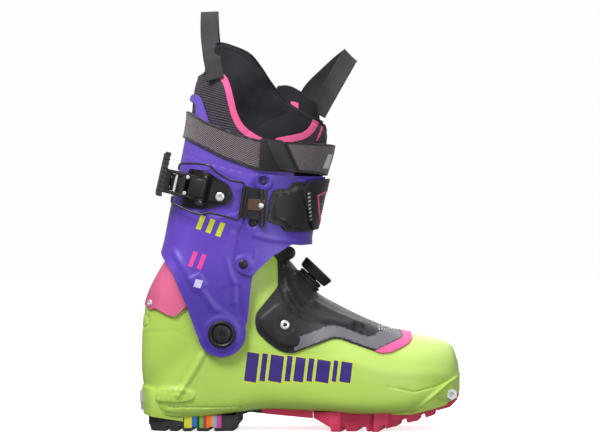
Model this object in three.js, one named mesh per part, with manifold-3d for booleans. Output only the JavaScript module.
// A ski touring boot for the right foot, in millimetres.
// +X points to the toe, +Y to the inner (medial) side of the foot and +Z up. The origin is on the ground,
// straight below the cuff pivots and midway between them. Outlines are side views, drawn as [x, z].

import * as THREE from "three";
import { mergeVertices } from "three/addons/utils/BufferGeometryUtils.js";
import Module from "manifold-3d";

const wasm = await Module();
wasm.setup();

// ---------------------------------------------------------------- driving dimensions

const SOLE_LENGTH = 295; // toe to heel
const BOOT_HEIGHT = 388; // ground to the top of the rear pull loop
const FOREFOOT_WIDTH = 108; // lower shell at the ball of the foot
const ANKLE_WIDTH = 88; // lower shell between the pivots

const SHELL_WALL = 3.5;
const CUFF_WALL = 3;
const FLAP_WALL = 2.5;
const LINER_WALL = 7;
const GAITER_WALL = 1.3;
const SPINE_WALL = 2.5;
const STRAP_WALL = 1.8;
const PLATE_WALL = 2;

const GAP = 0.3; // between pieces that touch
const RUNNING_GAP = 2; // between pieces that sweep past each other
const ARM_GAP = 1.5; // between the cuff's arms and the spine
const LINER_GAP = 0.8; // between the liner and the plastic around it
const SPINE_FOOT = 0.5; // of the spine over the shell

// The cuff's width at the pivots follows from what stands between its arms.
const CUFF_WIDTH = ANKLE_WIDTH + 2 * (SPINE_FOOT + SPINE_WALL + ARM_GAP + CUFF_WALL);
const CALF_FLARE = 11; // of the cuff from the pivots to its top edge
const CALF_WIDTH = CUFF_WIDTH + CALF_FLARE;

const PIVOT_BOLT_RADIUS = 6;
const PIVOT_CAP_RADIUS = 12.5;
const BUSH_WALL = 2.5;
const RIVET_RADIUS = 4;
const SCREW_RADIUS = 3.2;
const DIAL_RADIUS = 16.5;
const DIAL_HEIGHT = 16;
const WIRE_RADIUS = 1.1;
const LOOP_WIDTH = 17;

// The outlines below were drawn for this sole length and height, and stretch with the real ones.
const DRAWN = { length: 295, height: 388 };
const X = (x) => (x * SOLE_LENGTH) / DRAWN.length;
const Z = (z) => (z * BOOT_HEIGHT) / DRAWN.height;
const PIVOT_HEIGHT = Z(90);
const LATERAL = -1;
const MEDIAL = 1;
const BOTH_SIDES = [LATERAL, MEDIAL];
const WIDE = 200; // reaches past the boot on every side

const V = (x, y, z) => new THREE.Vector3(x, y, z);

// ---------------------------------------------------------------- solids

/** The closed geometry as a manifold solid that faces outwards, moved by matrix. */
function solid(geometry, matrix = new THREE.Matrix4()) {
  const bare = new THREE.BufferGeometry();
  bare.setAttribute("position", geometry.getAttribute("position").clone());
  if (geometry.index) bare.setIndex(geometry.index.clone());
  const merged = mergeVertices(bare.applyMatrix4(matrix), 1e-4);
  const triVerts = new Uint32Array(merged.index.array);
  const make = () =>
    new wasm.Manifold(new wasm.Mesh({ numProp: 3, vertProperties: merged.attributes.position.array, triVerts }));
  const made = make();
  if (made.volume() > 0) return made;
  for (let i = 0; i < triVerts.length; i += 3) [triVerts[i], triVerts[i + 1]] = [triVerts[i + 1], triVerts[i]];
  return make();
}

const FINEST = 0.12; // detail smaller than this is dropped from the finished pieces

/** A manifold solid as a three.js geometry. */
function geometryOf(body) {
  const { vertProperties, triVerts } = body.simplify(FINEST).getMesh();
  const geometry = new THREE.BufferGeometry();
  geometry.setAttribute("position", new THREE.BufferAttribute(new Float32Array(vertProperties), 3));
  geometry.setIndex(new THREE.BufferAttribute(new Uint32Array(triVerts), 1));
  geometry.computeVertexNormals();
  return geometry;
}

/** A closed loft through rings of as many points each, with a fan over each end. */
function loft(rings) {
  const sides = rings[0].length;
  const points = rings.flat();
  const faces = [];
  for (let i = 0; i < rings.length - 1; i++) {
    for (let k = 0; k < sides; k++) {
      const a = i * sides + k;
      const b = i * sides + ((k + 1) % sides);
      faces.push(a, b, b + sides, a, b + sides, a + sides);
    }
  }
  for (const end of [0, rings.length - 1]) {
    const centre = points.push(rings[end].reduce((sum, p) => sum.add(p), V(0, 0, 0)).divideScalar(sides)) - 1;
    for (let k = 0; k < sides; k++) {
      const pair = [end * sides + k, end * sides + ((k + 1) % sides)];
      faces.push(centre, ...(end ? pair : pair.reverse()));
    }
  }
  const geometry = new THREE.BufferGeometry().setFromPoints(points);
  geometry.setIndex(faces);
  return geometry;
}

/** A closed outline of [x, z] points, stretched to size, with its corners rounded to radius. */
function outline(points, radius = 0) {
  const at = points.map(([x, z]) => new THREE.Vector2(X(x), Z(z)));
  const shape = new THREE.Shape();
  at.forEach((corner, i) => {
    const before = at[(i + at.length - 1) % at.length];
    const after = at[(i + 1) % at.length];
    const reach = Math.min(radius, corner.distanceTo(before) / 2, corner.distanceTo(after) / 2);
    const from = corner.clone().lerp(before, reach / corner.distanceTo(before));
    const to = corner.clone().lerp(after, reach / corner.distanceTo(after));
    if (i) shape.lineTo(from.x, from.y);
    else shape.moveTo(from.x, from.y);
    if (reach > 0) shape.quadraticCurveTo(corner.x, corner.y, to.x, to.y);
  });
  shape.closePath();
  return shape;
}

/** A side-view shape made solid from y = from to y = to. */
function prism(shape, from = -WIDE, to = WIDE) {
  const geometry = new THREE.ExtrudeGeometry(shape, { depth: to - from, bevelEnabled: false, curveSegments: 2 });
  return solid(geometry.rotateX(Math.PI / 2).translate(0, to, 0));
}

/** A plan-view shape made solid from z = from to z = to. */
function slabUp(shape, from, to) {
  return solid(
    new THREE.ExtrudeGeometry(shape, { depth: to - from, bevelEnabled: false, curveSegments: 6 }).translate(0, 0, from),
  );
}

/** A cylinder along local +Z from height from to height to, placed by seat. */
function rod(seat, radius, from, to, { top = radius, sides = 16 } = {}) {
  const geometry = new THREE.CylinderGeometry(top, radius, to - from, sides);
  return solid(geometry.rotateX(Math.PI / 2).translate(0, 0, (from + to) / 2), seat);
}

/** A box of the given size about a local centre, placed by seat. */
function block(seat, size, centre = [0, 0, 0]) {
  return solid(new THREE.BoxGeometry(...size).translate(...centre), seat);
}

/** A tube of a round section along points. */
function tube(points, radius, { steps = 24, sides = 8 } = {}) {
  const section = new THREE.Shape().absarc(0, 0, radius, 0, 2 * Math.PI);
  const extrudePath = new THREE.CatmullRomCurve3(points, false, "centripetal");
  return solid(new THREE.ExtrudeGeometry(section, { steps, extrudePath, bevelEnabled: false, curveSegments: sides / 2 }));
}

const join = (...bodies) => bodies.reduce((sum, body) => sum.add(body));

// ---------------------------------------------------------------- skins

const SIDES = 22; // of every ring of a skin

/**
 * A smooth skin through stations. Each station is a closed ring in a plane that stands across the boot:
 * low and high are its ends in the side view, half its half width, shift how far it lies to the medial side,
 * belly the share of the way from low to high where it is widest, and powers how square its two ends are.
 */
class Skin {
  constructor(stations, sides) {
    this.sides = sides;
    const curve = (pick) => new THREE.CatmullRomCurve3(stations.map(pick), false, "catmullrom", 0.5);
    this.low = curve((s) => V(X(s.low[0]), 0, Z(s.low[1])));
    this.high = curve((s) => V(X(s.high[0]), 0, Z(s.high[1])));
    this.girth = curve((s) => V(s.half, s.shift ?? 0, s.belly ?? 0.5));
    this.powers = curve((s) => V(...(s.powers ?? [3, 3]), 0));
    this.last = stations.length - 1;
    // Every layer has its rings at the same stations, so that the layers' facets lie parallel.
    const longSpan = 36;
    this.cuts = stations.flatMap((_, i) => {
      if (i === this.last) return [i];
      const span = Math.max(...[this.low, this.high].map((c) => this.on(c, i).distanceTo(this.on(c, i + 1))));
      return span > longSpan ? [i, i + 0.5] : [i];
    });
  }

  on(curve, s) {
    return curve.getPoint(Math.min(Math.max(s / this.last, 0), 1));
  }

  station(s, grow = 0) {
    const low = this.on(this.low, s);
    const high = this.on(this.high, s);
    const along = high.clone().sub(low).normalize();
    const girth = this.on(this.girth, s);
    const powers = this.on(this.powers, s);
    return {
      low: low.addScaledVector(along, -grow),
      high: high.addScaledVector(along, grow),
      half: girth.x + grow,
      shift: girth.y,
      belly: girth.z,
      powers: [powers.x, powers.y],
    };
  }

  ring(s, grow) {
    const { low, high, half, shift, belly, powers } = this.station(s, grow);
    return Array.from({ length: this.sides }, (_, k) => {
      const angle = (2 * Math.PI * k) / this.sides;
      const [c, side] = [Math.cos(angle), Math.sin(angle)];
      const power = 2 / powers[c < 0 ? 0 : 1];
      const along = Math.abs(c) ** power * (c < 0 ? -belly : 1 - belly);
      return low
        .clone()
        .lerp(high, belly + along)
        .setY(shift + Math.sign(side) * Math.abs(side) ** power * half);
    });
  }

  /** The solid inside the skin, grown by grow, from station from to station to. */
  body(from, to, grow = 0) {
    const between = this.cuts.filter((s) => s > from + 0.1 && s < to - 0.1);
    return solid(loft([from, ...between, to].map((s) => this.ring(s, grow))));
  }

  /** The layer of the skin between two offsets, open at both ends. */
  layer(from, to, inner, outer) {
    return this.body(from, to, outer).subtract(this.body(from - 1, to + 1, inner));
  }

  /** Half the width of the skin where the side view shows the point x, z. */
  halfAt(x, z, grow = 0) {
    const offset = (s) => {
      const { low, high } = this.station(s, grow);
      return (high.x - low.x) * (z - low.z) - (high.z - low.z) * (x - low.x);
    };
    const steps = 8 * this.last;
    for (let i = 0; i < steps; i++) {
      let [a, b] = [(i * this.last) / steps, ((i + 1) * this.last) / steps];
      if (offset(a) * offset(b) > 0) continue;
      for (let n = 0; n < 30; n++) {
        const middle = (a + b) / 2;
        if (offset(a) * offset(middle) <= 0) b = middle;
        else a = middle;
      }
      const { low, high, half, belly, powers } = this.station(a, grow);
      const span = high.clone().sub(low);
      const t = V(x, 0, z).sub(low).dot(span) / span.lengthSq();
      if (t < 0 || t > 1) continue;
      const [end, power] = t < belly ? [(belly - t) / belly, powers[0]] : [(t - belly) / (1 - belly), powers[1]];
      return half * (1 - end ** power) ** (1 / power);
    }
    throw new Error(`the skin doesn't cover ${x}, ${z}`);
  }

  /** A frame on the skin, its +Z along the outward normal, where the side view shows the drawn point. */
  seat([drawnX, drawnZ], side, grow = 0) {
    const [x, z, step] = [X(drawnX), Z(drawnZ), 1];
    const half = this.halfAt(x, z, grow);
    const normal = V(
      (this.halfAt(x - step, z, grow) - this.halfAt(x + step, z, grow)) / (2 * step),
      side,
      (this.halfAt(x, z - step, grow) - this.halfAt(x, z + step, grow)) / (2 * step),
    ).normalize();
    const across = V(0, 0, 1).cross(normal).normalize();
    return new THREE.Matrix4()
      .makeBasis(across, normal.clone().cross(across), normal)
      .setPosition(x, side * half, z);
  }
}

/** A frame at a point, its +Z along axis and its +X as near ahead as it can be. */
function frameAt(point, axis, ahead = V(1, 0, 0)) {
  const up = axis.clone().normalize();
  const side = up.clone().cross(ahead).normalize();
  return new THREE.Matrix4().makeBasis(side.clone().cross(up), side, up).setPosition(point);
}

// ---------------------------------------------------------------- the two skins of the boot

const footHalf = FOREFOOT_WIDTH / 2;
const ankleHalf = ANKLE_WIDTH / 2;
const FOOT = { belly: 0.36, powers: [3.6, 2.2] };
const ANKLE = { belly: 0.5, powers: [3, 2.7] };

// From the toe back along the foot, round the heel and up to the ankle.
const shellSkin = new Skin([
  { low: [218.5, 36], high: [218.5, 62], half: footHalf - 42, shift: 5, ...FOOT },
  { low: [213, 24], high: [213, 77], half: footHalf - 27, shift: 5, ...FOOT },
  { low: [203, 22], high: [201, 83], half: footHalf - 17, shift: 4, ...FOOT },
  { low: [185, 18], high: [182, 87], half: footHalf - 8, shift: 2, ...FOOT },
  { low: [160, 15.5], high: [156, 92], half: footHalf - 2, ...FOOT },
  { low: [130, 15], high: [128, 103], half: footHalf, shift: -1, ...FOOT },
  { low: [98, 17], high: [105, 114.5], half: footHalf - 3, shift: -1, ...FOOT },
  { low: [68, 18], high: [91, 122], half: footHalf - 7, belly: 0.42, powers: [3.2, 2.3] },
  { low: [38, 19], high: [80, 131], half: ankleHalf + 0.5, belly: 0.46, powers: [3, 2.5] },
  { low: [5, 15], high: [72, 141], half: ankleHalf, ...ANKLE },
  { low: [-28, 10], high: [65, 150], half: ankleHalf, ...ANKLE },
  { low: [-56, 12], high: [60, 155.5], half: ankleHalf, ...ANKLE },
  { low: [-71, 28], high: [57, 158], half: ankleHalf, ...ANKLE },
  { low: [-76, 54], high: [55, 160], half: ankleHalf, ...ANKLE },
  { low: [-76, 80], high: [53.5, 161.5], half: ankleHalf, ...ANKLE },
  { low: [-74.5, 104], high: [52, 162.5], half: ankleHalf, ...ANKLE },
  { low: [-69.5, 125], high: [51, 163.3], half: ankleHalf, ...ANKLE },
  { low: [-62, 141], high: [50, 164], half: ankleHalf, ...ANKLE },
  { low: [-52, 158], high: [47, 170], half: ankleHalf, ...ANKLE },
], SIDES);
const SHELL_RIM = shellSkin.last - 1; // the station of the lower shell's top edge

const cuffHalf = CUFF_WIDTH / 2;
const calfHalf = CALF_WIDTH / 2;
const CALF = { belly: 0.5, powers: [2.7, 2.5] };

// From below the pivots up to the top of the calf.
const cuffSkin = new Skin([
  { low: [-94, 60], high: [86, 60], half: cuffHalf, belly: 0.5, powers: [4, 4] },
  { low: [-88, 100], high: [86, 100], half: cuffHalf, belly: 0.5, powers: [4, 3.8] },
  { low: [-71, 140], high: [83, 138], half: cuffHalf, belly: 0.5, powers: [4, 3.4] },
  { low: [-57.8, 165], high: [79.5, 172], half: cuffHalf, belly: 0.5, powers: [3.4, 2.6] },
  { low: [-49.5, 205], high: [85.8, 203], half: cuffHalf + 1, ...CALF },
  { low: [-41, 243], high: [92.3, 233], half: cuffHalf + 3, ...CALF },
  { low: [-34, 280], high: [99, 256], half: calfHalf - 0.5, ...CALF },
  { low: [-30, 316], high: [101, 276], half: calfHalf, ...CALF },
  { low: [-22, 345], high: [98, 300], half: calfHalf - 4, ...CALF },
  { low: [-10, 372], high: [88, 330], half: calfHalf - 9, ...CALF },
], SIDES);

// What stands still inside the cuff lies within this distance of the pivot axis.
const pivot = V(0, 0, PIVOT_HEIGHT);
const fixedReach =
  Math.max(
    ...Array.from({ length: SHELL_RIM - 8 }, (_, i) => shellSkin.station(9 + i, GAP + GAITER_WALL).high.distanceTo(pivot)),
  ) + GAP;
const shaftReach = fixedReach + RUNNING_GAP;
const pivotDisc = (radius) =>
  solid(new THREE.CylinderGeometry(radius, radius, 2 * WIDE, 96), new THREE.Matrix4().setPosition(pivot));

// ---------------------------------------------------------------- materials

const paint = (color, roughness, metalness = 0) => new THREE.MeshStandardMaterial({ color, roughness, metalness });
const LIME = paint(0xa6d13c, 0.45);
const VIOLET = paint(0x5638b8, 0.42);
const PINK = paint(0xe0437f, 0.45);
const RED_RUBBER = paint(0xb02c45, 0.75);
const BLACK_RUBBER = paint(0x17171a, 0.8);
const BLACK_PLASTIC = paint(0x1d1d20, 0.5);
const FOAM = paint(0x1a1a1f, 0.9);
const WEBBING = paint(0x2b2b2f, 0.85);
const STRAP_WEAVE = paint(0x5a5558, 0.8);
const STEEL = paint(0xb9bbc0, 0.3, 1);
const COPPER = paint(0x5b4030, 0.4, 0.3);
const MEMBRANE = paint(0x232228, 0.7);

const boot = new THREE.Group();
const foot = new THREE.Group();
const cuff = new THREE.Group();
boot.add(foot, cuff);

/** Adds a named piece to a group, placed by seat. Its body is in that seat's own frame. */
function add(group, name, material, body, seat = new THREE.Matrix4()) {
  const piece = new THREE.Mesh(geometryOf(body), material);
  piece.name = name;
  seat.decompose(piece.position, piece.quaternion, piece.scale);
  group.add(piece);
}

const HOME = new THREE.Matrix4();

// ---------------------------------------------------------------- lower shell

const TOE_LUG = { half: 34.5, back: 150, front: 220.5, low: 20, high: 46 };
const HEEL_LUG = { half: 35, back: -74.5, front: -36, low: 14, high: 45 };

/** The plan of a sole lug: straight sides and an arc round its end. */
function lugPlan({ half, back, front }, end) {
  const [a, b] = [X(back), X(front)];
  const shape = new THREE.Shape();
  const bow = 0.62 * half; // how far the round end stands out from its corners
  const [tip, root, flat] = end > 0 ? [b, a, b - bow] : [a, b, a + bow];
  shape.moveTo(root, -half);
  shape.lineTo(flat, -half);
  shape.bezierCurveTo(flat + end * bow * 0.75, -half, tip, -half * 0.6, tip, 0);
  shape.bezierCurveTo(tip, half * 0.6, flat + end * bow * 0.75, half, flat, half);
  shape.lineTo(root, half);
  shape.closePath();
  return shape;
}

const toeLug = slabUp(lugPlan(TOE_LUG, 1), Z(TOE_LUG.low), Z(TOE_LUG.high));
const heelLug = slabUp(lugPlan(HEEL_LUG, -1), Z(HEEL_LUG.low), Z(HEEL_LUG.high));
// The toe lug's sole face rises to the tip.
const toeRocker = prism(outline([[150, -20], [240, -20], [240, 50], [221, 36], [206, 23.5], [190, 19], [150, 15.5]]));
const shellOuter = join(shellSkin.body(0, SHELL_RIM), toeLug.subtract(toeRocker), heelLug);
const shellEnvelope = join(shellSkin.body(0, SHELL_RIM, GAP), toeLug.subtract(toeRocker.translate(0, 0, -GAP)), heelLug);
const TOE_WALL = 1.75; // stations back to where the hollow starts
const shellInside = shellSkin.body(TOE_WALL, shellSkin.last, -SHELL_WALL);

const THROAT_HALF = 23; // half the width of the opening over the instep
const throat = prism(
  outline([[154, 78], [154, 130], [90, 190], [20, 190], [20, 172], [44, 140], [60, 112], [100, 92]], 8),
  -THROAT_HALF,
  THROAT_HALF,
);

// Tech fittings: a steel insert each side of the toe and a plate on the heel.
const TOE_SOCKET = { at: [211, 33.5], radius: 5.2, half: 27, depth: 5 };
const toeSocketSeat = (side) =>
  frameAt(V(X(TOE_SOCKET.at[0]), side * TOE_SOCKET.half, Z(TOE_SOCKET.at[1])), V(0, side, 0));
const HEEL_PLATE = { half: 11, low: 17, high: 36, depth: 5 };

const pivotSeat = (side, y) => frameAt(V(0, side * y, PIVOT_HEIGHT), V(0, side, 0));

let shell = shellOuter.subtract(shellInside).subtract(throat);
for (const side of BOTH_SIDES) {
  shell = shell.subtract(rod(pivotSeat(side, 0), PIVOT_BOLT_RADIUS + GAP, 0.6 * ankleHalf, WIDE));
  shell = shell.subtract(rod(toeSocketSeat(side), TOE_SOCKET.radius + GAP, -TOE_SOCKET.depth - GAP, WIDE, { sides: 6 }));
}
const heelPocket = block(
  HOME,
  [2 * (HEEL_PLATE.depth + GAP), 2 * (HEEL_PLATE.half + GAP), Z(HEEL_PLATE.high - HEEL_PLATE.low) + 2 * GAP],
  [X(HEEL_LUG.back), 0, Z(HEEL_PLATE.low + HEEL_PLATE.high) / 2],
);
shell = shell.subtract(heelPocket);

// ---------------------------------------------------------------- what the lower shell holds

const linerOuter = -(SHELL_WALL + LINER_GAP);
const BOARD = { low: 20.5, high: 24.5, wall: 4 }; // the stiff board that the liner stands on
const LINER_TOE = TOE_WALL + 0.25; // the station of the liner's toe
const footRoom = shellSkin.body(LINER_TOE, shellSkin.last, linerOuter);
const below = (z) => block(HOME, [4 * WIDE, 2 * WIDE, WIDE], [0, 0, Z(z) - WIDE / 2]);
const board = footRoom.intersect(below(BOARD.high)).subtract(below(BOARD.low));

const NUT = { radius: 10, thick: 2.2 }; // the flanged nut of a pivot bolt, inside the shell
const nutOuter = ankleHalf - SHELL_WALL - GAP;
const nutRoom = (side) => rod(pivotSeat(side, 0), NUT.radius + 1, nutOuter - NUT.thick - 1, ankleHalf);

const linerCavity = shellSkin.body(LINER_TOE + 0.5, shellSkin.last, linerOuter - LINER_WALL);
const SOLE_PAD = 5; // the liner's own sole, under the footbed
const footbedTop = BOARD.high + 2 * SOLE_PAD;
let linerBoot = shellSkin
  .body(LINER_TOE, SHELL_RIM - 0.2, linerOuter)
  .subtract(linerCavity.subtract(below(BOARD.high + SOLE_PAD)))
  .subtract(below(BOARD.high).translate(0, 0, GAP));
for (const side of BOTH_SIDES) {
  linerBoot = linerBoot.subtract(nutRoom(side));
  shell = shell.subtract(rod(pivotSeat(side, 0), NUT.radius + GAP, nutOuter - 2, nutOuter + GAP));
}
const footbed = shellSkin
  .body(LINER_TOE + 0.6, shellSkin.last, linerOuter - LINER_WALL - GAP)
  .intersect(below(footbedTop))
  .subtract(below(BOARD.high + SOLE_PAD).translate(0, 0, GAP));

add(foot, "boot_board", BLACK_PLASTIC, board);
add(foot, "liner_boot", FOAM, linerBoot);
add(foot, "footbed", WEBBING, footbed);

// ---------------------------------------------------------------- soles

const LUG_DEPTH = 4; // of the tread

/** The side view of a sole from its straight lug faces, with a groove of LUG_DEPTH between each two. */
function treadOutline(lugs, start, end, top) {
  const bottom = lugs.flatMap(([from, to, fromZ = 0, toZ = fromZ]) => [
    [from - 1.2, fromZ + LUG_DEPTH],
    [from, fromZ],
    [to, toZ],
    [to + 1.2, toZ + LUG_DEPTH],
  ]);
  return outline([...start, ...bottom, ...end, ...top]);
}

/** A plan that runs through half widths at given x, the same on both sides of its own middle line. */
function footPlan(halves, shift = 0) {
  const side = (sign) => halves.map(([x, half]) => new THREE.Vector2(X(x), shift + sign * half));
  const shape = new THREE.Shape();
  const [first, ...rest] = side(-1);
  shape.moveTo(first.x, first.y);
  shape.splineThru(rest);
  const back = side(1).reverse();
  shape.lineTo(back[0].x, back[0].y);
  shape.splineThru(back.slice(1));
  shape.closePath();
  return slabUp(shape, -WIDE, WIDE);
}

const frontLugs = [
  [100, 109],
  [114, 123],
  [133, 143],
  [150, 160, 3, 4.5],
  [170, 180, 7.5, 9.5],
  [187, 196, 12, 15],
];
const soleFront = prism(
  treadOutline(
    frontLugs,
    [[84, 12]],
    [[199, 18.7], [210, 21], [217, 26.5], [219.8, 31]],
    [[218, 33], [206, 30], [190, 26], [150, 28], [110, 28], [84, 19]],
  ),
)
  .intersect(footPlan([[84, 30], [104, 40], [125, 44], [150, 43], [175, 37], [198, 31], [212, 22], [219, 8]], 1))
  .subtract(shellEnvelope);

const soleArch = prism(outline([[15, 13.5], [40, 14.5], [83.6, 11.5], [83.6, 26], [40, 26], [15, 26]], 1))
  .intersect(footPlan([[14, 24], [40, 22], [60, 24], [84, 29]], 1))
  .subtract(shellEnvelope);

const heelLugs = [
  [-66, -52],
  [-48, -41],
  [-36, -29],
  [-23, -13],
  [-7, 10],
];
const soleHeel = prism(
  treadOutline(heelLugs, [[-69, 6]], [[14.5, 8]], [[14.5, 24], [0, 24], [-40, 24], [-69, 15]]),
)
  .intersect(footPlan([[-69.5, 14], [-65, 25], [-52, 32], [-30, 34], [-5, 32], [14.6, 28]]))
  .subtract(shellEnvelope);

add(foot, "sole_front", RED_RUBBER, soleFront);
add(foot, "sole_arch", BLACK_RUBBER, soleArch);
add(foot, "sole_heel", BLACK_RUBBER, soleHeel);

// ---------------------------------------------------------------- tech fittings

for (const [side, label] of [[LATERAL, "lateral"], [MEDIAL, "medial"]]) {
  const seat = toeSocketSeat(side);
  const socketDepth = 4;
  const insert = rod(HOME, TOE_SOCKET.radius, -TOE_SOCKET.depth, 1.2, { sides: 6 }).subtract(
    rod(HOME, 0.4, 1.2 - socketDepth, 1.3, { top: 2.6, sides: 12 }),
  );
  add(foot, `toe_fitting_${label}`, STEEL, insert, seat);
}

const HEEL_SLOT = { half: 3.5, deep: 3 };
const heelFitting = heelPocket
  .subtract(block(HOME, [4 * HEEL_PLATE.depth, 200, 200], [X(HEEL_LUG.back) - 2.6 * HEEL_PLATE.depth, 0, 20]))
  .intersect(
    block(
      HOME,
      [60, 2 * HEEL_PLATE.half, Z(HEEL_PLATE.high - HEEL_PLATE.low)],
      [X(HEEL_LUG.back) - 30 + HEEL_PLATE.depth, 0, Z(HEEL_PLATE.low + HEEL_PLATE.high) / 2],
    ),
  )
  .subtract(
    join(
      ...BOTH_SIDES.map((side) =>
        block(
          HOME,
          [2 * HEEL_SLOT.deep, 2 * HEEL_SLOT.half, WIDE],
          [X(HEEL_LUG.back) - 0.6 * HEEL_PLATE.depth, side * (HEEL_PLATE.half - HEEL_SLOT.half), Z(HEEL_PLATE.low + 8) - WIDE / 2],
        ),
      ),
    ),
  );
add(foot, "heel_fitting", STEEL, heelFitting);

// ---------------------------------------------------------------- spine

// The spine's top stays clear of the cuff, whose inside is this far from the pivot at the back.
const SPINE_REACH = Math.hypot(X(55.8) - CUFF_WALL, Z(160.5) - PIVOT_HEIGHT) - RUNNING_GAP;
const spine = shellSkin
  .layer(11, shellSkin.last, SPINE_FOOT, SPINE_FOOT + SPINE_WALL)
  .intersect(
    prism(
      outline(
        [[-48, 162], [-90, 162], [-90, 116], [-73.5, 116], [-68, 111.3], [-62, 113.4], [-50, 107], [-43, 105.5], [-32, 115.7], [-24, 121], [-36, 148]],
        2,
      ),
    ),
  )
  .intersect(pivotDisc(SPINE_REACH));
const SPINE_SCREW = { at: [-67, 117.5], radius: 2.6 };
const spineScrewSeat = shellSkin.seat(SPINE_SCREW.at, LATERAL, SPINE_FOOT + SPINE_WALL);
const spineHole = rod(spineScrewSeat, SPINE_SCREW.radius + GAP, -WIDE / 4, WIDE / 4);
add(foot, "lock_spine", PINK, spine.subtract(spineHole));

// ---------------------------------------------------------------- gaiter over the throat

const gaiterEdge = [
  [46, 175], [49, 166], [51.6, 158], [51.6, 133.5], [31.5, 109], [30.3, 101], [32, 92], [41, 83], [51.5, 75.3], [60, 72.3],
  [66, 72.5], [101.3, 86], [108, 85.8], [139, 75], [145, 72.8], [154, 73.3], [163.5, 77.2], [172, 81.6],
];
const trimLine = [[139.8, 70], [139.8, 74.9], [167.3, 86.5], [165, 91.5], [160, 110]];
const gaiterLayer = shellSkin.layer(2, SHELL_RIM - 0.1, GAP, GAP + GAITER_WALL);
const gaiterRegion = prism(outline([...gaiterEdge, [175, 86], [175, 130], [100, 180]], 3));
const aheadOfTrim = prism(outline([...trimLine, [250, 110], [250, 70]]));
const DIAL_AT = [77.5, 136]; // on the instep
const dialAxis = V(0.69, 0, 0.72).normalize();
const dialSeat = frameAt(V(X(DIAL_AT[0]), 0, Z(DIAL_AT[1])), dialAxis, V(0, 1, 0));
const DIAL_STEM = 5;
const gaiterScrewAt = [57.5, 98];
const gaiterTop = GAP + GAITER_WALL;
let gaiter = gaiterLayer.intersect(gaiterRegion).subtract(aheadOfTrim);
const screwSeat = (side) => shellSkin.seat(gaiterScrewAt, side, gaiterTop);
const screwHole = (side) => rod(screwSeat(side), 2 + GAP, -8, 4, { sides: 8 });
for (const side of BOTH_SIDES) gaiter = gaiter.subtract(screwHole(side));
gaiter = gaiter.subtract(rod(dialSeat, DIAL_STEM + GAP, -20, 20, { sides: 10 }));
const toeTrim = gaiterLayer.intersect(gaiterRegion).intersect(aheadOfTrim.translate(GAP, 0, -GAP));
add(foot, "gaiter", MEMBRANE, gaiter);
add(foot, "gaiter_toe_trim", PINK, toeTrim);

/** A screw or rivet: a domed head that stands on the seat and a shank below it. */
function fastener(headRadius, headHeight, shankRadius, shank) {
  return join(
    rod(HOME, headRadius, GAP, GAP + headHeight, { top: 0.75 * headRadius, sides: 12 }),
    rod(HOME, shankRadius, -shank, GAP + 0.1, { sides: 8 }),
  );
}

for (const [side, label] of [[LATERAL, "lateral"], [MEDIAL, "medial"]]) {
  shell = shell.subtract(screwHole(side));
  add(foot, `gaiter_screw_${label}`, STEEL, fastener(SCREW_RADIUS + 1.2, 1.4, 2, gaiterTop + SHELL_WALL), screwSeat(side));
}
shell = shell.subtract(rod(spineScrewSeat, SPINE_SCREW.radius + GAP, -10, 10));
add(foot, "spine_screw", STEEL, fastener(4, 1.2, SPINE_SCREW.radius, 6), spineScrewSeat);
add(foot, "lower_shell", LIME, shell);

// ---------------------------------------------------------------- instep dial

const dialFoot = gaiterTop + GAP; // clearance of the dial's foot over the shell's skin
const knobStart = DIAL_HEIGHT - 8.5;
const dialBase = rod(dialSeat, 0.78 * DIAL_RADIUS, -8, knobStart - GAP, { top: 0.62 * DIAL_RADIUS, sides: 20 })
  .subtract(shellSkin.body(5, SHELL_RIM, dialFoot))
  .subtract(rod(dialSeat, DIAL_STEM + GAP, -20, 20, { sides: 10 }));
add(foot, "dial_base", BLACK_PLASTIC, dialBase);

const spoolFrom = -2.5; // the spool reaches this far in through the gaiter
const dialSpool = new THREE.Group();
const dialKnob = new THREE.Group();
foot.add(dialSpool);
dialSpool.add(dialKnob);
add(dialSpool, "dial_spool", BLACK_PLASTIC, rod(HOME, DIAL_STEM, spoolFrom, knobStart + 4, { sides: 10 }), dialSeat);

/** The knob: a grip with flutes round its rim, hollow where it sits on the spool. */
function knobBody() {
  const flutes = 14;
  let knob = rod(HOME, DIAL_RADIUS - 1.5, knobStart, DIAL_HEIGHT, { top: DIAL_RADIUS, sides: 28 });
  knob = join(knob, rod(HOME, DIAL_RADIUS, DIAL_HEIGHT, DIAL_HEIGHT + 1.2, { top: DIAL_RADIUS - 3, sides: 28 }));
  for (let i = 0; i < flutes; i++) {
    const angle = (2 * Math.PI * i) / flutes;
    const groove = new THREE.Matrix4().setPosition(DIAL_RADIUS * Math.cos(angle), DIAL_RADIUS * Math.sin(angle), 0);
    knob = knob.subtract(rod(groove, 1.1, knobStart - 1, DIAL_HEIGHT - 1.5, { sides: 6 }));
  }
  return knob.subtract(rod(HOME, DIAL_STEM + GAP, knobStart - 1, knobStart + 4 + GAP, { sides: 10 }));
}
add(dialKnob, "dial_knob", BLACK_RUBBER, knobBody(), dialSeat);

// ---------------------------------------------------------------- cuff

const CUFF_ROUND = 22; // radius of the cuff arms round the pivot bolts
const armFront = [[47.4, 161.5], [31.9, 147.4], [28, 143], [25.6, 124.6], [23.3, 101.2]];
const armRear = [[-22.6, 88], [-27.9, 103.5], [-32, 115.2], [-46.5, 147.7], [-55.8, 160.5], [-57.8, 165]];

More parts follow.
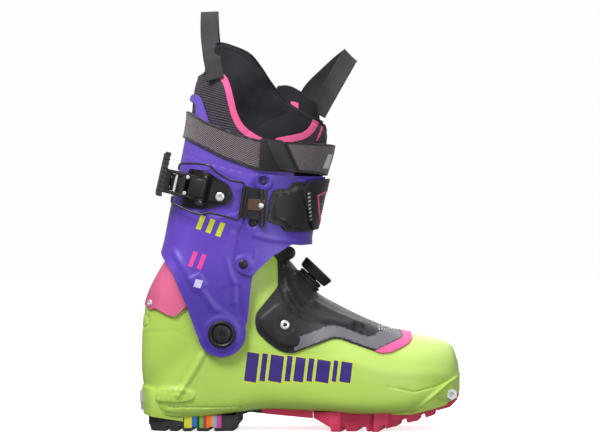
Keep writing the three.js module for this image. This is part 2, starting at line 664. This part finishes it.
/** The cuff's side view, with an arc round the pivot bolt. */
function cuffOutline() {
  const top = [[-95, 168], [-95, 320], [-31, 312], [-27, 309], [-21, 304], [-17, 293], [-13, 281], [-6, 270], [30, 259], [60, 252], [115, 246]];
  const front = [[115, 172], [82.4, 172], [73.5, 170.8], [64.5, 171.5]];
  const shape = new THREE.Shape();
  const line = (points) => points.forEach(([x, z]) => shape.lineTo(X(x), Z(z)));
  shape.moveTo(X(armRear.at(-1)[0]), Z(armRear.at(-1)[1]));
  line([...top, ...front, ...armFront]);
  shape.absarc(0, PIVOT_HEIGHT + 1, CUFF_ROUND, 0.3, Math.PI + 0.1, true);
  line(armRear.slice(0, -1));
  shape.closePath();
  return shape;
}

// The seam where the lateral flap starts: down the side and round its lower rivet.
const FLAP_RIVETS = { upper: [38, 228.6], middle: [28.5, 191], lower: [19.6, 153.6] };
const flapSeam = [[31.5, 235.5], [26.5, 227], [25, 219], [22.8, 198], [16.4, 183], [12.4, 160], [13.4, 149], [17, 145], [24, 143.6]];
const flapShape = outline([...flapSeam, [27.4, 143.2], ...armFront.slice(0, 2).reverse(), [64.5, 171.5], [73.5, 170.6], [82.4, 171.2], [130, 171.2], [130, 233.5], [68, 233.5]], 1.2);
const flapLayer = cuffSkin.layer(1, 6, GAP, GAP + FLAP_WALL);
const medialTail = prism(outline([[-120, 100], [66, 100], [62, 300], [-120, 300]]), 0, WIDE); // what the flap leaves free
let flap = flapLayer.intersect(prism(flapShape)).subtract(medialTail);

let cuffShell = cuffSkin
  .layer(0, 8, -CUFF_WALL, 0)
  .intersect(prism(cuffOutline()));
// The slit under the flap lets the cuff open for the foot.
const slit = prism(outline([[58, 100], [130, 100], [130, 300], [74, 300], [66, 240]], 4), -WIDE, -9);
cuffShell = cuffShell.subtract(slit);
// A window in each rear corner of the tab leaves a bridge across the back.
const tabWindow = prism(outline([[-33.5, 306], [-25.5, 301], [-24, 285], [-33.5, 289]], 2));
cuffShell = cuffShell.subtract(tabWindow);

const flapTop = GAP + FLAP_WALL;
const rivetSeats = Object.entries(FLAP_RIVETS).map(([label, at]) => [label, cuffSkin.seat(at, LATERAL, flapTop)]);
const rivetShank = 2.5;
for (const [, seat] of rivetSeats) {
  const hole = rod(seat, rivetShank + GAP, -14, 6, { sides: 8 });
  flap = flap.subtract(hole);
  cuffShell = cuffShell.subtract(hole);
}
for (const side of BOTH_SIDES) {
  cuffShell = cuffShell.subtract(rod(pivotSeat(side, 0), PIVOT_BOLT_RADIUS + BUSH_WALL + 2 * GAP, 0.6 * cuffHalf, WIDE));
}

// Pivots: a bolt through the cuff into a flanged nut inside the shell, running in a bush.
const capFoot = cuffHalf + GAP;
for (const [side, label] of [[LATERAL, "lateral"], [MEDIAL, "medial"]]) {
  const seat = pivotSeat(side, 0);
  const bolt = join(
    rod(HOME, PIVOT_BOLT_RADIUS, nutOuter - NUT.thick, capFoot + 0.1),
    rod(HOME, PIVOT_CAP_RADIUS, capFoot, capFoot + 3.6, { top: PIVOT_CAP_RADIUS - 1.6, sides: 20 }),
  ).subtract(rod(HOME, 7.2, capFoot + 1.8, capFoot + 9, { top: 8.4, sides: 16 }));
  add(foot, `pivot_bolt_${label}`, BLACK_PLASTIC, bolt, seat);
  const nut = rod(HOME, NUT.radius, nutOuter - NUT.thick, nutOuter).subtract(
    rod(HOME, PIVOT_BOLT_RADIUS + GAP, 0, WIDE),
  );
  add(foot, `pivot_nut_${label}`, STEEL, nut, seat);
  const bush = rod(HOME, PIVOT_BOLT_RADIUS + BUSH_WALL + GAP, ankleHalf + GAP, cuffHalf).subtract(
    rod(HOME, PIVOT_BOLT_RADIUS + GAP, 0, WIDE),
  );
  add(cuff, `pivot_bush_${label}`, BLACK_PLASTIC, bush, seat);
}

// ---------------------------------------------------------------- shin plate, catch and cover, over the flap

const plateFoot = flapTop + GAP;
const plateTop = plateFoot + PLATE_WALL;
const coverFoot = plateTop + GAP;
const plateShape = outline(
  [[48, 221], [62, 222.5], [66, 228], [79, 228], [130, 231], [130, 187], [92, 186], [76, 182.5], [58, 183.5], [55, 188.5], [45, 191.5], [42, 193], [44.5, 212]],
  2,
);
const COVER_EDGE = [[130, 234], [100, 232], [81, 229], [75, 220.5], [75, 214], [81.5, 196], [84, 184], [92, 186.5], [130, 187]];
const medialPlate = prism(outline([[-120, 100], [46, 100], [46, 300], [-120, 300]]), 0, WIDE);
const medialCover = prism(outline([[-120, 100], [70, 100], [70, 300], [-120, 300]]), 0, WIDE);
let shinPlate = cuffSkin.layer(2, 6, plateFoot, plateTop).intersect(prism(plateShape)).subtract(medialPlate);
const coverRegion = prism(outline(COVER_EDGE, 2)).subtract(medialCover);
const shinCover = cuffSkin.layer(2, 6.4, coverFoot, coverFoot + PLATE_WALL).intersect(coverRegion);

const CATCH_RIVET = [36, 206.5];
const catchShape = outline([[19.5, 225], [34, 222], [41.5, 221], [40.5, 193], [38, 186.5], [34.5, 187], [33.5, 193.5], [15, 196.5], [17.5, 211]], 1.5);
const catchSeat = cuffSkin.seat(CATCH_RIVET, LATERAL, plateTop);
const catchHole = rod(catchSeat, 1.6 + GAP, -14, 8, { sides: 8 });
const bailLine = { top: [20.8, 226.5], bottom: [16.8, 195.2] }; // where the wire's front bar lies
const rivetRoom = rivetSeats.map(([, seat]) => rod(seat, RIVET_RADIUS + 2, -1, 8));
const catchLayer = cuffSkin.layer(2, 6, plateFoot, plateTop);
let catchPlate = catchLayer.intersect(prism(catchShape, -WIDE, 0)).subtract(catchHole);
for (const room of rivetRoom) catchPlate = catchPlate.subtract(room);
const tabShape = outline([[24.5, 213], [39.5, 212], [38, 202], [23.5, 203]], 0.8);
const catchTab = cuffSkin
  .layer(2, 6, coverFoot, coverFoot + 0.8)
  .intersect(prism(tabShape, -WIDE, 0))
  .subtract(catchHole);
flap = flap.subtract(catchHole);
cuffShell = cuffShell.subtract(catchHole);

const PLATE_RIVET = [54, 207];
const plateSeat = cuffSkin.seat(PLATE_RIVET, MEDIAL, plateTop);
const plateHole = rod(plateSeat, 2 + GAP, -16, 8, { sides: 8 });
shinPlate = shinPlate.subtract(plateHole);
cuffShell = cuffShell.subtract(plateHole);

// ---------------------------------------------------------------- buckle, lever and bail

const HINGE_AT = [-17, 222];
const hingeAxis = V(X(5.4), 0, Z(23.7)).normalize();
const rearward = V(-hingeAxis.z, 0, hingeAxis.x);
const leverTilt = THREE.MathUtils.degToRad(17); // the closed lever turns in round the calf
const outward = V(0, -1, 0);
const down = hingeAxis.clone().negate();
const cuffAtHinge = cuffSkin.halfAt(X(HINGE_AT[0]), Z(HINGE_AT[1]));
const HINGE_HEIGHT = 8; // hinge pin above the cuff
const hingePoint = V(X(HINGE_AT[0]), -(cuffAtHinge + HINGE_HEIGHT), Z(HINGE_AT[1]));
const leverAlong = rearward.clone().multiplyScalar(Math.cos(leverTilt)).addScaledVector(outward, -Math.sin(leverTilt));
const leverFrame = new THREE.Matrix4()
  .makeBasis(leverAlong, down, leverAlong.clone().cross(down))
  .setPosition(hingePoint); // +X runs to the lever's tip, +Y down the hinge pin, +Z outwards
const baseFrame = new THREE.Matrix4()
  .makeBasis(rearward, down, outward)
  .setPosition(hingePoint);

const CLAW_RISE = 5.5; // the claw stands higher than the hinge
const LEVER = { length: 41, half: 11, thick: 5, rail: 3, pinRadius: 1.5, bailAt: 27 };
const EAR = { gap: 0.8, thick: 2.4 };
const earInner = LEVER.half + EAR.gap;

/** The base plate follows the cuff, comes to a point at its rivet and carries two ears for the hinge pin. */
function buckleBase() {
  const plateOutline = outline(
    [[-30, 241], [-14, 238.5], [-4, 232], [6, 226], [10.5, 217], [7, 208.5], [-4, 206.5], [-16, 204], [-37, 206], [-34, 224]],
    2,
  );
  const plate = cuffSkin.layer(2, 6, GAP, GAP + 2).intersect(prism(plateOutline, -WIDE, 0));
  const nose = block(baseFrame, [14, 2 * earInner - 6, HINGE_HEIGHT], [-14, 0, -HINGE_HEIGHT / 2 - 1]);
  const ears = BOTH_SIDES.map((end) =>
    join(
      block(baseFrame, [9, EAR.thick, 2 * HINGE_HEIGHT], [0, end * (earInner + EAR.thick / 2), -HINGE_HEIGHT]),
      rod(baseFrame.clone().multiply(new THREE.Matrix4().makeRotationX(-Math.PI / 2)), 4.2,
        end * (earInner + EAR.thick / 2) - EAR.thick / 2, end * (earInner + EAR.thick / 2) + EAR.thick / 2, { sides: 10 }),
    ),
  );
  return join(plate, nose, ...ears).subtract(cuffSkin.body(2, 6, GAP));
}

const pinAlong = (frame, x, z = 0) =>
  frame.clone().multiply(new THREE.Matrix4().makeTranslation(x, 0, z)).multiply(new THREE.Matrix4().makeRotationX(-Math.PI / 2));
const hingePin = rod(pinAlong(baseFrame, 0), LEVER.pinRadius, -earInner - EAR.thick, earInner + EAR.thick, { sides: 8 });
const hingeBore = rod(pinAlong(baseFrame, 0), LEVER.pinRadius + GAP, -WIDE, WIDE, { sides: 10 });
const BUCKLE_RIVET = [-1.6, 214.7];
const buckleSeat = cuffSkin.seat(BUCKLE_RIVET, LATERAL, GAP + 2);
const buckleHole = rod(buckleSeat, rivetShank + GAP, -12, 30, { sides: 8 });
const rivetPocket = rod(buckleSeat, RIVET_RADIUS + 1, GAP, 30, { sides: 10 });

const base = buckleBase().subtract(hingeBore).subtract(buckleHole).subtract(rivetPocket);
cuffShell = cuffShell.subtract(buckleHole);

/** The lever: two rails with cross bars, open between them, and a claw that turns in behind the cuff. */
function leverBody() {
  const { length, half, thick, rail } = LEVER;
  const bar = (x, width, z = 0, t = thick) => block(HOME, [width, 2 * half - 1, t], [x, 0, z]);
  const rails = BOTH_SIDES.map((end) => block(HOME, [length, rail, thick], [length / 2 - 0.2, end * (half - rail / 2), 0]));
  const eyes = rod(new THREE.Matrix4().makeRotationX(-Math.PI / 2), 3.4, -half, half, { sides: 10 });
  const clawTurn = new THREE.Matrix4().makeRotationY(THREE.MathUtils.degToRad(62)).setPosition(length - 1.5, 0, 1);
  const claw = block(clawTurn, [22, 2 * half + 16, 3], [9.5, -CLAW_RISE, 0]);
  const tip = block(clawTurn, [3.2, 2 * half + 19, 4.4], [-1, -CLAW_RISE, 0.4]);
  return join(...rails, eyes, bar(8.5, 5), bar(19, 4, 0.4), bar(length - 4, 9), claw, tip)
    .subtract(rod(new THREE.Matrix4().makeRotationX(-Math.PI / 2), LEVER.pinRadius + GAP, -half - 9, half + 9, { sides: 10 }))
    .subtract(rod(pinAlong(HOME, LEVER.bailAt), 1.3 + GAP, -half - 9, half + 9, { sides: 8 }));
}
const lever = new THREE.Group();
const bail = new THREE.Group();
cuff.add(lever);
lever.add(bail);
add(lever, "buckle_lever", BLACK_PLASTIC, leverBody(), leverFrame);
add(lever, "bail_rod", STEEL, rod(pinAlong(HOME, LEVER.bailAt), 1.3, -LEVER.half - 1, LEVER.half + 1, { sides: 8 }), leverFrame);

/** The bail: one wire from the rod's top end, round the catch and back to its bottom end. */
function bailWire() {
  const rodEnd = (end) => V(LEVER.bailAt, end * (LEVER.half + 1 + GAP), 0).applyMatrix4(leverFrame);
  const free = (x, z, lift) => V(X(x), -(cuffSkin.halfAt(X(x), Z(z)) + lift), Z(z));
  const high = plateTop + GAP + WIRE_RADIUS + 0.4;
  const top = rodEnd(-1);
  const bottom = rodEnd(1);
  return tube(
    [
      top,
      top.clone().addScaledVector(hingeAxis, 4),
      top.clone().addScaledVector(hingeAxis, 6.5).addScaledVector(leverAlong, -3.5),
      free(-13, 243.5, HINGE_HEIGHT + 2),
      free(-4, 236.5, HINGE_HEIGHT),
      free(8, 229.5, high + 1),
      free(bailLine.top[0] - 3, bailLine.top[1] + 1.4, high),
      free(bailLine.top[0], bailLine.top[1] - 2, high),
      free((bailLine.top[0] + bailLine.bottom[0]) / 2, (bailLine.top[1] + bailLine.bottom[1]) / 2, high),
      free(bailLine.bottom[0], bailLine.bottom[1] + 2, high),
      free(bailLine.bottom[0] - 3, bailLine.bottom[1] - 1.4, high),
      free(2, 197.3, high + 1),
      free(-12, 200, HINGE_HEIGHT),
      free(-22.5, 199.2, HINGE_HEIGHT + 2),
      bottom.clone().addScaledVector(hingeAxis, -6.5).addScaledVector(leverAlong, -3.5),
      bottom.clone().addScaledVector(hingeAxis, -4),
      bottom,
    ],
    WIRE_RADIUS,
    { steps: 48, sides: 6 },
  );
}
add(bail, "wire_bail", STEEL, bailWire());

add(cuff, "buckle_base", BLACK_PLASTIC, base);
add(cuff, "lever_pin", STEEL, hingePin);
add(cuff, "buckle_rivet", STEEL, fastener(RIVET_RADIUS, 1.4, rivetShank, 2 + GAP + CUFF_WALL), buckleSeat);

add(cuff, "cuff_shell", VIOLET, cuffShell);
add(cuff, "cuff_flap", VIOLET, flap);
for (const [label, seat] of rivetSeats) {
  add(cuff, `flap_rivet_${label}`, BLACK_PLASTIC, fastener(RIVET_RADIUS, 1.4, rivetShank, flapTop + CUFF_WALL), seat);
}
add(cuff, "shin_plate", BLACK_PLASTIC, shinPlate);
add(cuff, "shin_cover", BLACK_PLASTIC, shinCover);
add(cuff, "catch_plate", BLACK_PLASTIC, catchPlate);
add(cuff, "catch_tab", COPPER, catchTab);
const tabTop = coverFoot + 0.8 - plateTop;
add(cuff, "catch_rivet", STEEL, fastener(2.3, 1, 1.6, 7 + tabTop).translate(0, 0, tabTop), catchSeat);
add(cuff, "plate_rivet", STEEL, fastener(RIVET_RADIUS, 1.4, 2, plateTop + CUFF_WALL), plateSeat);

// ---------------------------------------------------------------- power strap

const strapHigh = [[-95, 318], [-31.4, 293.4], [-14.6, 283], [8.2, 273.7], [31.5, 267], [54.8, 263.5], [73.5, 260.7], [104, 259.6], [130, 259]];
const strapLow = [[130, 236.8], [99.5, 236.8], [68.4, 236.8], [31.5, 238.9], [-0.2, 250.5], [-36.5, 269.6], [-95, 300]];
const strapBand = prism(outline([...strapHigh, ...strapLow]));
const strap = cuffSkin.layer(4, 8.5, GAP, GAP + STRAP_WALL).intersect(strapBand);
const tailFoot = 2 * GAP + STRAP_WALL;
const keeperShape = outline([[36, 268], [56, 265.5], [69, 236.5], [34, 238.5]], 1.5);
const keeper = cuffSkin.layer(4, 7.5, tailFoot, tailFoot + STRAP_WALL + 0.8).intersect(prism(keeperShape, -WIDE, 0));
const tailShape = outline([[57, 264.3], [130, 262], [130, 233], [69.6, 237]], 1);
const medialStrap = prism(outline([[-120, 100], [52, 100], [44, 300], [-120, 300]]), 0, WIDE);
const strapTail = cuffSkin
  .layer(4, 7.5, tailFoot, tailFoot + STRAP_WALL)
  .intersect(prism(tailShape))
  .subtract(medialStrap);
add(cuff, "power_strap", STRAP_WEAVE, strap);
add(cuff, "strap_keeper", WEBBING, keeper);
add(cuff, "strap_tail", STRAP_WEAVE, strapTail);

// ---------------------------------------------------------------- liner shaft, tongue and pull loops

const shaftOuter = -(CUFF_WALL + LINER_GAP);
const shaftEdge = [
  [-90, 150], [-90, 322], [-17, 330], [-9, 352], [-2.8, 357], [11.7, 352.8], [25.6, 345.8], [36, 334], [46.5, 318], [60.6, 301.6],
  [78, 291], [93, 285], [101, 278], [130, 272],
];
// Ahead and below, the shaft stops on a line from the pivot, clear of the dial when the cuff leans forward.
const shaftFront = [[130, 263], [74, 189], [50, 157]];
const shaftRegion = prism(outline([...shaftEdge, ...shaftFront]));
const shaftCore = cuffSkin.body(2, 9, shaftOuter - LINER_WALL);
const shaft = cuffSkin
  .body(2.2, 9, shaftOuter)
  .subtract(shaftCore)
  .intersect(shaftRegion)
  .subtract(pivotDisc(shaftReach));
add(cuff, "liner_shaft", FOAM, shaft);

const tongueOuter = shaftOuter - LINER_WALL - GAP;
const tongueEdge = [
  [46, 225], [49, 316], [57, 318.5], [66, 316], [76, 310], [85, 304], [100, 297], [130, 250], [86, 205], [60, 190],
];
const tongue = cuffSkin
  .layer(3, 9, tongueOuter - 5, tongueOuter)
  .intersect(prism(outline(tongueEdge, 3)))
  .subtract(pivotDisc(shaftReach));
add(cuff, "liner_tongue", FOAM, tongue);

/** A pull loop of webbing: up one side, over the top and down the other, as a flat band of LOOP_WIDTH. */
function pullLoop(foot, top, across, spread) {
  const thick = 1.6;
  const rise = top.clone().sub(foot);
  const height = rise.length();
  const up = rise.normalize();
  const wide = across.clone().sub(up.clone().multiplyScalar(across.dot(up))).normalize();
  const frame = new THREE.Matrix4().makeBasis(wide, up.clone().cross(wide).negate(), up).setPosition(foot);
  const arch = new THREE.Shape();
  arch.moveTo(-spread / 2, 0);
  arch.bezierCurveTo(-spread / 2, 0.6 * height, -1.5 - thick, 0.8 * height, -thick, height);
  arch.lineTo(thick, height);
  arch.bezierCurveTo(1.5 + thick, 0.8 * height, spread / 2, 0.6 * height, spread / 2, 0);
  arch.lineTo(spread / 2 - thick, 0);
  arch.bezierCurveTo(spread / 2 - thick, 0.5 * height, 1.5, 0.7 * height, 0.4, height - 2 * thick);
  arch.lineTo(-0.4, height - 2 * thick);
  arch.bezierCurveTo(-1.5, 0.7 * height, -spread / 2 + thick, 0.5 * height, -spread / 2 + thick, 0);
  arch.closePath();
  const band = new THREE.ExtrudeGeometry(arch, { depth: LOOP_WIDTH, bevelEnabled: false, curveSegments: 6 });
  // The arch is drawn across the band: its x is the spread, its y the height, and it is extruded along wide.
  const turn = new THREE.Matrix4().makeBasis(V(0, -1, 0), V(0, 0, 1), V(-1, 0, 0)).setPosition(LOOP_WIDTH / 2, 0, 0);
  return solid(band, frame.multiply(turn));
}
const rearLoop = pullLoop(V(X(-9.5), 0, Z(336)), V(X(-12.7), 0, BOOT_HEIGHT), V(1, 0, 0.05), 26).subtract(
  cuffSkin.body(2.2, 9, shaftOuter + GAP).intersect(shaftRegion.translate(0, 0, GAP)),
);
add(cuff, "pull_loop_rear", WEBBING, rearLoop);
const frontLoop = pullLoop(V(X(84), 0, Z(303)), V(X(118.6), 0, Z(347.8)), V(0.7, 0, -0.7), 24).subtract(
  join(
    cuffSkin.body(3, 9, tongueOuter + GAP).intersect(prism(outline(tongueEdge, 3)).translate(0, 0, GAP)),
    cuffSkin.body(2.2, 9, shaftOuter + GAP).intersect(shaftRegion.translate(0, 0, GAP)),
  ),
);
add(cuff, "pull_loop_front", WEBBING, frontLoop);

export default boot;
